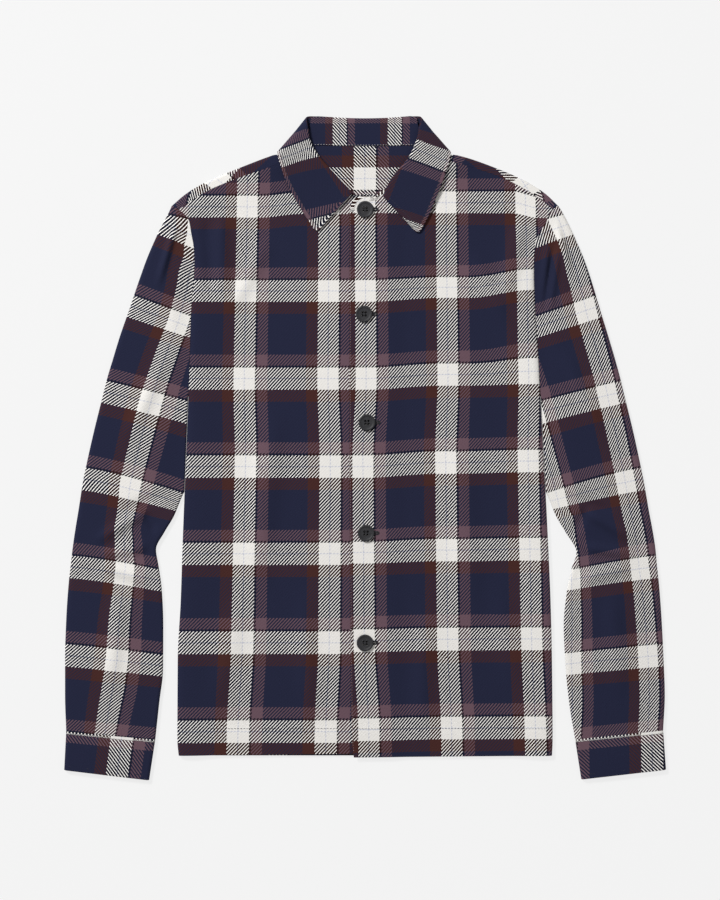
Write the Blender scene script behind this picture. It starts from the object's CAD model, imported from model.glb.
"""A checked overshirt, buttoned up and laid flat on its back, dressed for its portrait.

The garment lies in the XY plane, hem towards -Y, collar towards +Y, fronts up. Tables are in
millimetres and the objects are in metres. "Left" and "right" in names of sides mean the sides of the
picture from above, so the left side is the wearer's right.
"""
import logging
import math
from dataclasses import dataclass, field
from enum import Enum

import bpy
import numpy as np
from mathutils import Matrix, Vector


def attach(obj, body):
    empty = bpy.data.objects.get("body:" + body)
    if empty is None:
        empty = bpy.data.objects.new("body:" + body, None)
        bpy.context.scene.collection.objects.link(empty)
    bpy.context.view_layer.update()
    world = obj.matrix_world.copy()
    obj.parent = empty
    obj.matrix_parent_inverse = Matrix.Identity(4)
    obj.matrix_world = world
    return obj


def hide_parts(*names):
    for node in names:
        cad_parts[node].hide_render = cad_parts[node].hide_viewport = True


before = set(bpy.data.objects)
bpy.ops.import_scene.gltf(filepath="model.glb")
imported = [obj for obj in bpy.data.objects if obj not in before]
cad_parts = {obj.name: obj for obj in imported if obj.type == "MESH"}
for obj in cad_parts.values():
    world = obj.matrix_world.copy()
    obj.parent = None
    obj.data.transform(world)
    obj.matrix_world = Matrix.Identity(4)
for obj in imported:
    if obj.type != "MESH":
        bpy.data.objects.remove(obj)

LOG = logging.getLogger("overshirt")
MM = 0.001
PIXEL = 1.2               # millimetres that one picture pixel stands for
PIXEL_X = 365.0           # the picture column of x = 0
PIXEL_Y = 448.3           # the picture row of y = 0
Array = np.ndarray


class Side(Enum):
    """A side of the garment as seen from above, with the sign of the way in from it."""

    LEFT = 1.0
    RIGHT = -1.0


# ---- small sums -----------------------------------------------------------------------------------


def fade(value: Array | float, start: float, end: float) -> Array | float:
    """A smooth step from 0 at start to 1 at end."""
    t = np.clip((np.asarray(value, dtype=float) - start) / (end - start), 0.0, 1.0)
    return t * t * (3.0 - 2.0 * t)


def mix(a: Array | float, b: Array | float, t: Array | float) -> Array | float:
    """The value between a and b."""
    return a + (b - a) * t


def to_picture(x: Array | float, y: Array | float) -> tuple[Array | float, Array | float]:
    """The picture column and row of a place on the garment."""
    return PIXEL_X + np.asarray(x) / PIXEL, PIXEL_Y - np.asarray(y) / PIXEL


class Curve:
    """A smooth curve through table values that does not overshoot them."""

    def __init__(self, keys: Array, values: Array) -> None:
        """Works out the slopes at the table's keys."""
        order = np.argsort(keys)
        self.keys = np.asarray(keys, dtype=float)[order]
        self.values = np.asarray(values, dtype=float)[order]
        steps = np.diff(self.keys)
        rises = np.diff(self.values) / steps
        slopes = np.zeros_like(self.values)
        same_way = rises[:-1] * rises[1:] > 0.0
        heavy = 2.0 * steps[1:] + steps[:-1]
        light = steps[1:] + 2.0 * steps[:-1]
        with np.errstate(divide="ignore", invalid="ignore"):
            middle = (heavy + light) / (heavy / rises[:-1] + light / rises[1:])
        slopes[1:-1] = np.where(same_way, middle, 0.0)
        slopes[0], slopes[-1] = rises[0], rises[-1]
        self.slopes = slopes

    def __call__(self, at: Array | float) -> Array:
        """The curve's value, held level beyond its ends."""
        at = np.clip(np.asarray(at, dtype=float), self.keys[0], self.keys[-1])
        low = np.clip(np.searchsorted(self.keys, at, side="right") - 1, 0, len(self.keys) - 2)
        step = self.keys[low + 1] - self.keys[low]
        t = (at - self.keys[low]) / step
        near_start, near_end = (1.0 - t) ** 2, t * t
        start = (1.0 + 2.0 * t) * near_start * self.values[low] + t * near_start * step * self.slopes[low]
        end = (3.0 - 2.0 * t) * self.values[low + 1] + (t - 1.0) * step * self.slopes[low + 1]
        return start + near_end * end


def table_curves(rows: Array) -> list[Curve]:
    """One curve for each column of a table, over the row numbers."""
    rows = np.asarray(rows, dtype=float)
    return [Curve(np.arange(len(rows)), rows[:, k]) for k in range(rows.shape[1])]


def at_numbers(table: Array, numbers: Array) -> Array:
    """The rows of a table at fractional row numbers."""
    return np.stack([curve(numbers) for curve in table_curves(table)], axis=1)


def fine_steps(places: Array, step: float) -> Array:
    """Row numbers along a table, close enough that no step is longer than the one asked for."""
    places = np.asarray(places, dtype=float)
    lengths = np.linalg.norm(np.diff(places, axis=0), axis=1)
    numbers: list[float] = []
    for k, length in enumerate(lengths):
        count = max(1, math.ceil(length / step))
        numbers += [k + i / count for i in range(count)]
    numbers.append(float(len(places) - 1))
    return np.array(numbers)


def unit(ways: Array) -> Array:
    """Steps brought to a length of one."""
    return ways / np.linalg.norm(ways, axis=-1, keepdims=True)


def lengths_along(path: Array) -> Array:
    """How far along a path each of its points is."""
    return np.concatenate([[0.0], np.cumsum(np.linalg.norm(np.diff(path, axis=0), axis=1))])


def ring_angles(sides: int) -> list[float]:
    """The angles of the corners of a ring."""
    return [2.0 * math.pi * k / sides for k in range(sides)]


# ---- the laid shape -------------------------------------------------------------------------------

# Side lines of the body: y, left x, right x
BODY_EDGE = np.array([
    (-368, -223.5, 224.3), (-350, -225.0, 225.0), (-254, -224.6, 224.2), (-182, -221.0, 222.5),
    (-110, -218.6, 219.4), (-34, -215.6, 215.6), (35, -212.9, 211.8), (108, -210.2, 208.0),
    (178, -207.6, 203.6), (205, -204.9, 202.8), (228, -204.2, 202.6), (243, -205.4, 203.4),
    (258, -208.2, 209.0), (272, -210.6, 217.8), (281, -217.0, 220.8), (290, -230.0, 230.0),
])

# Shoulders from the tip to the neck: x and y of the rolled edge, x and y of the seam before it
SHOULDER = {
    Side.LEFT: np.array([
        (-231.0, 291.0, -222.5, 286.0), (-215.0, 304.7, -209.5, 295.5), (-191.0, 319.0, -186.0, 309.5),
        (-157.0, 333.5, -152.5, 323.5), (-119.0, 348.0, -114.5, 336.5), (-107.0, 351.6, -104.0, 340.6),
        (-97.0, 351.8, -94.5, 344.0), (-86.0, 355.0, -84.5, 347.5),
    ]),
    Side.RIGHT: np.array([
        (231.0, 291.0, 224.5, 287.0), (217.0, 304.5, 212.0, 297.0), (195.6, 318.5, 191.5, 310.5),
        (163.0, 333.5, 159.5, 326.0), (122.4, 348.0, 119.0, 339.0), (106.0, 351.6, 104.0, 343.0),
        (96.0, 351.8, 94.5, 345.2), (86.0, 355.0, 84.5, 348.0),
    ]),
}

# The back neck seam, from the left shoulder to the right one: x, y
BACK_NECK = np.array([(-74.0, 360.0), (-59.0, 362.8), (0.0, 362.0), (59.0, 362.8), (74.0, 360.0)])

# Rows of the fronts, hem to shoulder: y at the side, then x and y at the front edge or the neckline
FRONT_RUNGS = {
    Side.LEFT: np.array([
        (-368, 18, -365.5), (-350, 18, -348), (-254, 18, -254), (-182, 18, -182), (-110, 18, -104),
        (-34, 18, -20), (35, 18, 60), (108, 18, 150), (178, 18, 238), (205, 18, 270), (228, 18, 298),
        (235.5, 5, 304.6), (243, -12, 303), (250.5, -34, 312), (258, -53, 325.5), (272, -70, 338),
        (281, -79.5, 344.5), (286, -84.5, 347.5),
    ]),
    Side.RIGHT: np.array([
        (-368, -13, -370), (-350, -15, -352), (-254, -16.5, -254), (-182, -17, -182),
        (-110, -17.5, -104), (-34, -18, -20), (35, -18, 60), (108, -18, 150), (178, -18, 238),
        (205, -18, 270), (216.5, -17.6, 284), (222, -15.8, 292.5), (228, -11.3, 298.5),
        (235.5, -1, 302.2), (243, 9.5, 300.6), (249, 20.5, 308.4), (258, 34, 315), (265, 49, 325),
        (272, 64, 336), (281, 78.5, 344.5), (287, 84.5, 348),
    ]),
}
EDGE_RUNGS = 12             # the first rows of the over front end at its front edge

# Sleeves beside the body: x and y of the outer fold, y where the row meets the body
SLEEVE_HEAD = {
    Side.LEFT: np.array([
        (-231.8, 290.3, 285.6), (-234.3, 284.5, 281.0), (-237.5, 278.0, 272.0), (-241.5, 270.5, 258.0),
        (-247.5, 259.0, 243.0), (-253.0, 247.0, 228.0), (-261.5, 227.0, 205.0), (-270.5, 202.0, 178.0),
        (-282.0, 168.0, 143.0), (-294.5, 132.0, 108.0), (-302.4, 106.0, 84.0), (-309.0, 84.0, 62.0),
        (-316.3, 55.0, 35.0), (-325.0, 20.0, 0.0), (-333.8, -19.0, -34.0), (-337.8, -38.5, -52.0),
    ]),
    Side.RIGHT: np.array([
        (231.8, 290.3, 286.6), (235.5, 284.5, 281.0), (239.0, 278.0, 272.0), (243.0, 270.5, 258.0),
        (248.5, 259.0, 243.0), (253.8, 247.0, 228.0), (262.3, 227.0, 205.0), (271.0, 202.0, 178.0),
        (281.3, 168.0, 143.0), (292.3, 132.0, 108.0), (300.0, 106.0, 84.0), (306.0, 84.0, 62.0),
        (313.0, 55.0, 35.0), (321.5, 20.0, 0.0), (330.0, -19.0, -34.0), (334.0, -38.5, -52.0),
    ]),
}

# Sleeves below the underarm: x and y of the outer fold, x and y of the inner fold
SLEEVE_FREE = {
    Side.LEFT: np.array([
        (-343.4, -74.0, -229.5, -82.0), (-346.8, -94.5, -240.5, -100.5), (-350.0, -116.0, -250.5, -121.0),
        (-352.4, -136.5, -247.5, -141.0), (-355.4, -164.0, -243.5, -170.0), (-358.2, -206.0, -241.8, -213.0),
        (-359.6, -254.0, -242.0, -263.0), (-359.6, -296.0, -246.5, -304.0), (-358.2, -339.3, -251.4, -349.0),
    ]),
    Side.RIGHT: np.array([
        (340.5, -76.0, 229.0, -81.0), (344.5, -97.0, 240.5, -100.5), (348.0, -119.0, 253.5, -124.5),
        (350.0, -140.0, 247.5, -145.0), (352.8, -167.0, 242.0, -172.0), (355.6, -206.0, 238.2, -213.0),
        (358.0, -254.0, 240.4, -261.0), (359.4, -296.0, 244.6, -304.0), (357.4, -338.0, 251.8, -348.6),
    ]),
}

# The open end of each cuff: x and y of the outer fold, x and y of the inner fold
CUFF_END = {
    Side.LEFT: np.array([-360.6, -385.3, -258.7, -397.2]),
    Side.RIGHT: np.array([360.8, -384.8, 259.2, -396.2]),
}

# The collar stand: x and y at the neck seam, x and y at its top edge
STAND = np.array([
    (-70.6, 361.4, -64.0, 395.2), (-62.0, 362.6, -57.0, 397.0), (-45.0, 363.2, -42.0, 396.2),
    (-22.0, 362.9, -21.0, 395.0), (0.0, 362.8, 0.0, 394.6), (22.0, 362.9, 21.0, 395.0),
    (45.0, 363.2, 41.0, 396.2), (62.0, 362.6, 55.0, 397.2), (70.0, 361.4, 61.6, 395.2),
])

# The collar leaf: x, y, z of its inner edge, x, y, z of its outer edge, how far the inner edge is
# rolled, and the place in the check (in repeats round the collar) at the inner and the outer edge
LEAF = np.array([
    (-15.5, 306.0, 7.6, -58.0, 258.8, 5.6, 1.0, -0.63, -1.08),
    (-29.2, 320.0, 8.0, -70.0, 277.0, 6.2, 1.0, -0.457, -0.82),
    (-44.3, 336.2, 9.0, -79.8, 293.0, 7.2, 1.0, -0.27, -0.63),
    (-56.4, 350.6, 10.0, -88.8, 309.0, 8.6, 1.0, -0.115, -0.446),
    (-65.3, 366.0, 10.2, -96.6, 326.5, 9.7, 1.0, 0.065, -0.24),
    (-68.6, 379.5, 10.1, -101.4, 341.5, 10.2, 0.7, 0.24, -0.05),
    (-69.9, 388.0, 9.3, -103.4, 348.4, 10.0, 0.2, 0.33, 0.05),
    (-70.4, 393.6, 6.2, -104.4, 354.2, 6.0, 0.0, 0.40, 0.126),
    (-68.6, 397.2, 2.4, -101.4, 353.4, 1.6, 0.0, 0.44, 0.17),
    (-65.0, 397.6, 1.2, -96.0, 353.0, 1.1, 0.0, 0.48, 0.22),
    (-57.5, 397.4, 1.3, -84.0, 352.6, 1.0, 0.0, 0.56, 0.33),
    (-47.0, 396.6, 1.3, -66.0, 352.0, 1.0, 0.0, 0.66, 0.50),
    (-26.0, 395.2, 1.3, -32.0, 350.5, 1.0, 0.0, 0.84, 0.77),
    (0.0, 394.6, 1.3, 0.0, 350.0, 1.0, 0.0, 1.05, 1.05),
    (26.0, 395.2, 1.3, 32.0, 350.5, 1.0, 0.0, 1.25, 1.32),
    (45.0, 396.6, 1.3, 64.0, 352.0, 1.0, 0.0, 1.38, 1.54),
    (55.0, 397.4, 1.3, 82.0, 352.6, 1.0, 0.0, 1.46, 1.68),
    (62.2, 397.6, 1.2, 94.0, 353.0, 1.1, 0.0, 1.53, 1.79),
    (65.8, 397.2, 2.4, 99.2, 353.4, 1.6, 0.0, 1.58, 1.83),
    (67.4, 393.6, 6.2, 102.2, 354.2, 6.0, 0.0, 1.62, 1.874),
    (66.6, 387.6, 9.3, 101.4, 348.4, 10.0, 0.2, 1.68, 1.94),
    (65.0, 379.0, 10.1, 100.2, 342.6, 10.2, 0.7, 1.77, 2.00),
    (61.0, 365.0, 10.2, 96.6, 331.5, 9.7, 1.0, 1.93, 2.12),
    (52.6, 347.5, 10.0, 90.6, 314.5, 8.6, 1.0, 2.13, 2.31),
    (35.6, 327.0, 9.0, 83.4, 297.0, 7.6, 1.0, 2.36, 2.50),
    (26.2, 311.5, 8.7, 75.6, 278.0, 6.8, 1.0, 2.53, 2.71),
    (22.6, 301.0, 8.6, 63.6, 256.8, 6.2, 1.0, 2.62, 3.04),
])

BUTTON_PLACES = ((0.2, 286.0), (-1.2, 160.8), (2.4, 30.8), (1.2, -101.6), (0.0, -233.0))

# Soft folds: x and y of the middle, degrees from +X, length, width, height
FOLDS = np.array([
    (-187, 236, 93, 150, 15, -1.2), (-172, 236, 91, 150, 14, 1.9), (-140, 205, 62, 120, 18, 1.2),
    (178, 225, 80, 130, 13, 1.7), (150, 190, 118, 110, 15, 1.4), (-120, -60, 84, 260, 30, 1.6),
    (120, -90, 95, 260, 36, 1.3), (-165, -250, 80, 170, 26, 1.1), (170, -230, 99, 180, 26, 1.1),
    (-70, -250, 92, 190, 22, 1.2), (70, -270, 88, 180, 22, 1.2), (-236, 237, 74.4, 100, 8, 1.9),
    (-262, 60, 66, 140, 18, 1.3), (-290, -92, 30, 90, 12, 1.6), (-285, -122, 8, 80, 11, 1.6),
    (-284, -150, -16, 80, 13, 1.2), (-256, -88, -62, 62, 10, -1.6), (-268, -66, 20, 70, 12, -0.9),
    (256, -90, 242, 62, 10, -1.6), (268, -66, 160, 70, 12, -0.9), (-300, -230, 84, 150, 20, 1.5),
    (211, 195, 81, 120, 9, 1.5), (218.5, 197, 81, 110, 8, -1.3), (226, 201, 81, 110, 8, 1.1),
    (236, 246, 104, 90, 9, 2.0), (262, 60, 114, 140, 18, 1.3), (292, -92, 150, 90, 12, 1.6),
    (288, -122, 172, 80, 11, 1.6), (286, -150, 196, 80, 13, 1.2), (300, -230, 96, 150, 22, 1.2),
])
FOLD_DEPTH = 2.5            # how much deeper the folds are than the table says
FOLD_CORE = 0.15            # the share of a fold's length, to each side of its middle, at full height

Span = tuple[float, float]  # where a fade starts and ends


@dataclass(frozen=True)
class Lay:
    """How the layers of the garment lie on each other: heights of their middles over the floor."""

    wall: float = 1.5
    low: float = 0.75
    front_rest: float = 3.2
    overlap_step: float = 2.0
    overlap_ends: Span = (24.0, 52.0)       # x where the over front comes down from the under front
    side_top: float = 6.1
    shoulder_top: float = 4.9
    side_seam: float = 3.4
    side_roll: float = 7.0
    shoulder_roll: float = 3.0
    edge_swell: float = 55.0                # how far in from a side the front has settled
    seam_swell: float = 4.0                 # how far from the shoulder seam it starts to settle
    neck_lift: float = 2.5
    lift_y: Span = (318.0, 343.0)           # where the collar starts to lift what lies on it
    lift_x: Span = (108.0, 140.0)
    seam_gap: float = 0.3
    tilt_gap: float = 0.35
    underarm: float = 62.0
    seam_shows: float = 240.0
    seam_hides: float = 205.0
    shoulder_from: float = 262.0            # y where the edge has come down to the shoulder's height
    bends_from: float = 245.0
    curl_steps: int = 8
    curl_power: float = 1.3                 # crowds the points of a roll towards its seam
    second_layer: float = 2.4               # the least height of cloth that lies on the back
    fold_margin: Span = (4.0, 18.0)         # from the edges in, where folds die out
    fold_middle: Span = (26.0, 50.0)        # the same from the button line
    fold_top: Span = (255.0, 290.0)

    def edge(self, side: Side, y: Array | float) -> Array:
        """The x of the body's side line."""
        return EDGE_CURVES[side](y)

    def lift(self, x: Array, y: Array) -> Array:
        """How far layers are raised where the collar lies below them."""
        return self.neck_lift * fade(y, *self.lift_y) * (1.0 - fade(np.abs(x), *self.lift_x))

    def edge_top(self, y: Array | float) -> Array | float:
        """The height of the body's rolled edge."""
        return mix(self.side_top, self.shoulder_top, fade(y, self.seam_hides, self.shoulder_from))

    def from_edges(self, side: Side, x: Array, y: Array) -> tuple[Array, Array]:
        """How far a spot of a front is from its side and from its shoulder seam."""
        return np.abs(x - self.edge(side, y)), np.maximum(SEAM_CURVES[side](x) - y, 0.0)

    def front_height(self, side: Side, x: Array, y: Array) -> Array:
        """The height of a front's middle surface, folds left out."""
        from_side, from_shoulder = self.from_edges(side, x, y)
        settled = fade(from_side, self.side_roll, self.edge_swell)
        settled = settled * fade(from_shoulder, self.seam_swell, self.edge_swell)
        rest = self.front_rest + np.zeros_like(np.asarray(x, dtype=float))
        if side is Side.RIGHT:
            rest = rest + self.overlap_step * (1.0 - fade(x, *self.overlap_ends))
        return mix(rest, np.maximum(self.edge_top(y), rest), 1.0 - settled) + self.lift(x, y)

    def front_folds(self, side: Side, x: Array, y: Array) -> Array:
        """The folds of a front, which die out towards its edges."""
        from_side, from_shoulder = self.from_edges(side, x, y)
        clear = fade(from_side, *self.fold_margin) * fade(from_shoulder, *self.fold_margin)
        return folds(x, y) * clear * fade(np.abs(x), *self.fold_middle) * (1.0 - fade(y, *self.fold_top))

    def curl(self, closed: float, low: float, high: float) -> list[tuple[float, float]]:
        """A quarter roll from a side seam to the flat, as (distance in, height).

        Args:
            closed: 1 for the whole roll, 0 for cloth that runs flat out to its seam.
            low: the height at the seam.
            high: the height at the flat.

        Returns:
            The points of the roll, seam first.
        """
        points = []
        for step in range(self.curl_steps + 1):
            share = step / self.curl_steps
            turn = 0.5 * math.pi * share ** self.curl_power
            rolled = (self.side_roll * (1.0 - math.cos(turn)), mix(low, high, math.sin(turn)))
            points.append((mix(self.side_roll * share, rolled[0], closed), mix(high, rolled[1], closed)))
        return points


def folds(x: Array, y: Array) -> Array:
    """The height that the soft folds add, in millimetres."""
    height = np.zeros_like(np.asarray(x, dtype=float))
    for middle_x, middle_y, degrees, length, width, rise in FOLDS:
        turn = math.radians(degrees)
        along = (x - middle_x) * math.cos(turn) + (y - middle_y) * math.sin(turn)
        across = (y - middle_y) * math.cos(turn) - (x - middle_x) * math.sin(turn)
        ends = 1.0 - fade(np.abs(along), FOLD_CORE * length, 0.5 * length)
        height = height + FOLD_DEPTH * rise * ends * np.exp(-((across / (0.5 * width)) ** 2))
    return height


EDGE_CURVES = {
    Side.LEFT: Curve(BODY_EDGE[:, 0], BODY_EDGE[:, 1]),
    Side.RIGHT: Curve(BODY_EDGE[:, 0], BODY_EDGE[:, 2]),
}
SEAM_CURVES = {side: Curve(rows[:, 2], rows[:, 3]) for side, rows in SHOULDER.items()}
LAY = Lay()


# ---- the check ------------------------------------------------------------------------------------

ANYWHERE: Span = (-2000.0, -1000.0)
NOWHERE: Span = (1000.0, 2000.0)


@dataclass(frozen=True)
class Drift:
    """How far the bands of a front ride up, in picture pixels, and the columns and rows of it."""

    rise: float                     # in the upper rows
    low_rise: float                 # in the lower rows
    columns: Span = ANYWHERE        # fades in to the right
    rows_in: Span = ANYWHERE        # fades in downwards
    rows_out: Span = NOWHERE        # and out again

    def at(self, column: Array, row: Array, low: Array) -> Array:
        """The rise at a place; low is 1 in the lower rows."""
        shown = fade(column, *self.columns) * fade(row, *self.rows_in) * (1.0 - fade(row, *self.rows_out))
        return mix(self.rise, self.low_rise, low) * shown


@dataclass(frozen=True)
class Check:
    """Where the woven check falls. A place is given in repeats from the middle of a cream stripe, and
    it grows to the right and up in the order cream, thin navy, mauve, navy, maroon."""

    repeat: float = 87.0          # picture pixels

    # Picture columns of the cream stripes of each front at the chest and at the hem, a repeat apart
    chest_row: float = 207.0
    hem_row: float = 735.0
    beyond: Span = (-0.2, 1.1)    # how far the stripes run straight on above and below, as shares
    left_chest: tuple[float, ...] = (85.0, 166.0, 247.3, 329.1, 410.0)
    left_hem: tuple[float, ...] = (62.0, 150.0, 238.0, 325.8, 412.0)
    right_chest: tuple[float, ...] = (283.6, 364.8, 446.0, 525.2, 604.0)
    right_hem: tuple[float, ...] = (286.0, 368.8, 451.5, 535.2, 619.0)

    # The stripes lean out in the middle rows: how far at the front edge and far from it
    middle_in: Span = (377.0, 460.0)
    middle_out: Span = (645.0, 731.0)
    left_lean: Span = (0.0, -2.8)
    left_lean_columns: Span = (190.0, 235.0)
    right_lean: Span = (3.9, 2.1)
    right_lean_columns: Span = (365.0, 530.0)

    # Picture rows of the cream bands of the body and, at the outer fold, of the sleeves
    body_rows: tuple[float, ...] = (120.3, 207.3, 291.25, 377.0, 465.0, 553.0, 642.6, 731.4, 819.0)
    sleeve_rows: tuple[float, ...] = (152.0, 224.5, 306.5, 392.0, 479.0, 566.8, 655.0, 743.0)
    low_rows: Span = (480.0, 610.0)
    left_drifts: tuple[Drift, ...] = (
        Drift(3.5, 3.5, columns=(262.0, 300.0), rows_out=(215.0, 285.0)),
        Drift(-1.7, 0.0, rows_in=(300.0, 370.0)),
    )
    right_drifts: tuple[Drift, ...] = (
        Drift(4.3, 4.3, rows_out=(215.0, 280.0)),
        Drift(8.0, 8.0, columns=(470.0, 530.0), rows_in=(225.0, 255.0), rows_out=(330.0, 400.0)),
        Drift(-6.0, -6.0, columns=(512.0, 540.0), rows_out=(212.0, 235.0)),
        Drift(-1.7, 2.1, rows_in=(300.0, 370.0)),
        Drift(4.0, 1.4, columns=(368.0, 440.0), rows_in=(230.0, 300.0)),
        Drift(1.6, 0.48, columns=(455.0, 530.0), rows_in=(340.0, 460.0)),
    )

    # The facing that shows at the top corner of the over front, and the most it is up the check
    facing_column: float = 372.5
    facing_row: float = 201.5
    facing_slope: float = 1.6
    facing_up: float = 0.08

    # The back and the wrapped shoulders: columns and row of cream stripes
    back_column: float = 364.8
    back_row: float = 178.8
    left_shoulder: float = 215.5
    right_shoulder: float = 529.0

    # How far the sleeves' bands sag towards the inner fold, by picture row
    sag_rows: tuple[float, ...] = (320.0, 392.0, 479.0, 567.0, 655.0, 743.0)
    sags: tuple[float, ...] = (0.0, 2.0, 14.0, 9.5, 3.0, 0.0)
    sag_power: float = 1.5

    def bands(self, row: Array, rows: tuple[float, ...]) -> Array:
        """The place up the check at a picture row."""
        return 1.0 - np.interp(row, rows, np.arange(len(rows)))

    def front(self, side: Side, x: Array, y: Array) -> Array:
        column, row = to_picture(x, y)
        down = np.clip((row - self.chest_row) / (self.hem_row - self.chest_row), *self.beyond)
        if side is Side.LEFT:
            chest, hem, drifts = self.left_chest, self.left_hem, self.left_drifts
            lean, lean_columns = self.left_lean, self.left_lean_columns
        else:
            chest, hem, drifts = self.right_chest, self.right_hem, self.right_drifts
            lean, lean_columns = self.right_lean, self.right_lean_columns
        middle = fade(row, *self.middle_in) * (1.0 - fade(row, *self.middle_out))
        column = column + mix(*lean, fade(column, *lean_columns)) * middle
        rise = sum(drift.at(column, row, fade(row, *self.low_rows)) for drift in drifts)
        across = np.zeros_like(column)
        for k in range(len(chest) - 1):
            first = mix(chest[k], hem[k], down)
            second = mix(chest[k + 1], hem[k + 1], down)
            here = (column >= first) | (k == 0)
            across = np.where(here, k + (column - first) / (second - first), across)
        up = self.bands(row + rise, self.body_rows)
        if side is Side.RIGHT:
            in_from, above = column - self.facing_column, self.facing_row - row
            turned = (in_from > 0.0) & (above > 0.0) & (in_from < self.facing_slope * above)
            across = np.where(turned, -across, across)
            up = np.where(turned, np.minimum(up, self.facing_up), up)
        return np.stack([across, up], axis=-1)

    def sleeve(self, row: Array, share: Array) -> Array:
        """Args:
            row: the picture row at the outer fold.
            share: how far in from it towards the inner fold.

        Returns:
            The places.
        """
        sag = np.interp(row, self.sag_rows, self.sags) * share ** self.sag_power
        return self.bands(row - sag, self.sleeve_rows)

    def turned_cloth(self, stripe_column: float, x: Array, y: Array) -> Array:
        column, row = to_picture(x, y)
        places = (column - stripe_column) / self.repeat, (row - self.back_row) / self.repeat
        return np.stack(places, axis=-1)

    def back(self, x: Array, y: Array) -> Array:
        return self.turned_cloth(self.back_column, x, y)

    def shoulder(self, side: Side, x: Array, y: Array) -> Array:
        """The place on the part of the back over a shoulder, where it would be folded out flat."""
        return self.turned_cloth(self.left_shoulder if side is Side.LEFT else self.right_shoulder, x, y)


CHECK = Check()


# ---- cloth walls ----------------------------------------------------------------------------------

SHARP_CLOTH = 50.0          # edges of cloth that bend by more than this, in degrees, look sharp


@dataclass
class ClothSurface:
    """The middle surface of a piece of cloth: points in millimetres, places in the check, and quads.

    corner_places holds, for each corner of each quad, a row of places.
    """

    points: Array
    places: Array
    quads: Array
    corner_places: Array

    @classmethod
    def from_grid(cls, points: Array, places: Array) -> "ClothSurface":
        """Makes a surface from a grid of points and a grid of places."""
        rows, columns = points.shape[:2]
        index = np.arange(rows * columns).reshape(rows, columns)
        corners = index[:-1, :-1], index[:-1, 1:], index[1:, 1:], index[1:, :-1]
        quads = np.stack(corners, axis=-1).reshape(-1, 4)
        return cls(points.reshape(-1, 3), places.reshape(-1, 2), quads, quads.copy())

    def joined(self, pairs: dict[int, int] | None = None) -> "ClothSurface":
        """The surface with some points merged into others and without points that no quad uses."""
        target = np.arange(len(self.points))
        for old, new in (pairs or {}).items():
            target[old] = new
        used, quads = np.unique(target[self.quads], return_inverse=True)
        return ClothSurface(self.points[used], self.places, quads.reshape(-1, 4), self.corner_places)

    def turned_over(self) -> "ClothSurface":
        """The surface with its quads the other way up."""
        return ClothSurface(self.points, self.places, self.quads[:, ::-1], self.corner_places[:, ::-1])

    def quad_normals(self) -> Array:
        """Normals of the quads, longer for larger ones."""
        corners = self.points[self.quads]
        return np.cross(corners[:, 2] - corners[:, 0], corners[:, 3] - corners[:, 1])

    def facing_up(self) -> "ClothSurface":
        """The surface with the quads turned so that most of them face up."""
        return self if self.quad_normals()[:, 2].sum() >= 0.0 else self.turned_over()

    def normals(self) -> Array:
        """Unit normals at the points."""
        face = self.quad_normals()
        total = np.zeros_like(self.points)
        for k in range(4):
            np.add.at(total, self.quads[:, k], face)
        return total / np.maximum(np.linalg.norm(total, axis=1, keepdims=True), 1e-12)

    def rim(self) -> Array:
        """The directed edges that have a quad on one side only, with the corner places at their ends."""
        edges = {}
        for quad, marks in zip(self.quads.tolist(), self.corner_places.tolist()):
            for k in range(4):
                a, b = quad[k], quad[(k + 1) % 4]
                edges[(a, b)] = (marks[k], marks[(k + 1) % 4])
        return np.array([(a, b, *marks) for (a, b), marks in edges.items() if (b, a) not in edges])

    def wall(
        self, name: str, thick: float, material: bpy.types.Material, round_out: float = 0.32
    ) -> bpy.types.Object:
        """Makes a closed wall on both sides of the surface, with a rounded rim.

        Args:
            name: the object's name.
            thick: the wall, in millimetres.
            material: what it is made of.
            round_out: how far the rim bulges, in parts of the wall.

        Returns:
            The new object, linked to the scene.
        """
        normal = self.normals()
        rim = self.rim()
        outward = np.zeros_like(self.points)
        along = self.points[rim[:, 1]] - self.points[rim[:, 0]]
        along /= np.maximum(np.linalg.norm(along, axis=1, keepdims=True), 1e-9)
        for end in (0, 1):
            np.add.at(outward, rim[:, end], np.cross(along, normal[rim[:, end]]))
        outward /= np.maximum(np.linalg.norm(outward, axis=1, keepdims=True), 1e-9)
        count = len(self.points)
        edge_points = np.unique(rim[:, :2])
        place_of = np.full(count, -1)
        place_of[edge_points] = 2 * count + np.arange(len(edge_points))
        points = np.vstack([
            self.points + normal * (thick / 2.0),
            self.points - normal * (thick / 2.0),
            self.points[edge_points] + outward[edge_points] * (thick * round_out),
        ])
        a, b, mark_a, mark_b = rim.T
        faces = np.vstack([
            self.quads,
            self.quads[:, ::-1] + count,
            np.stack([b, a, place_of[a], place_of[b]], axis=1),
            np.stack([place_of[b], place_of[a], a + count, b + count], axis=1),
        ])
        marks = np.vstack([
            self.corner_places,
            self.corner_places[:, ::-1],
            np.stack([mark_b, mark_a, mark_a, mark_b], axis=1),
            np.stack([mark_b, mark_a, mark_a, mark_b], axis=1),
        ])
        return add_object(name, points, faces, material, self.places[marks.ravel()], sharp_from=SHARP_CLOTH)

    def height_at(self, x: float, y: float, over: float = -math.inf) -> float:
        """The height of the point nearest to a place, among the points that are over a height."""
        points = self.points[self.points[:, 2] > over]
        near = np.argmin((points[:, 0] - x) ** 2 + (points[:, 1] - y) ** 2)
        return float(points[near, 2])


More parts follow.
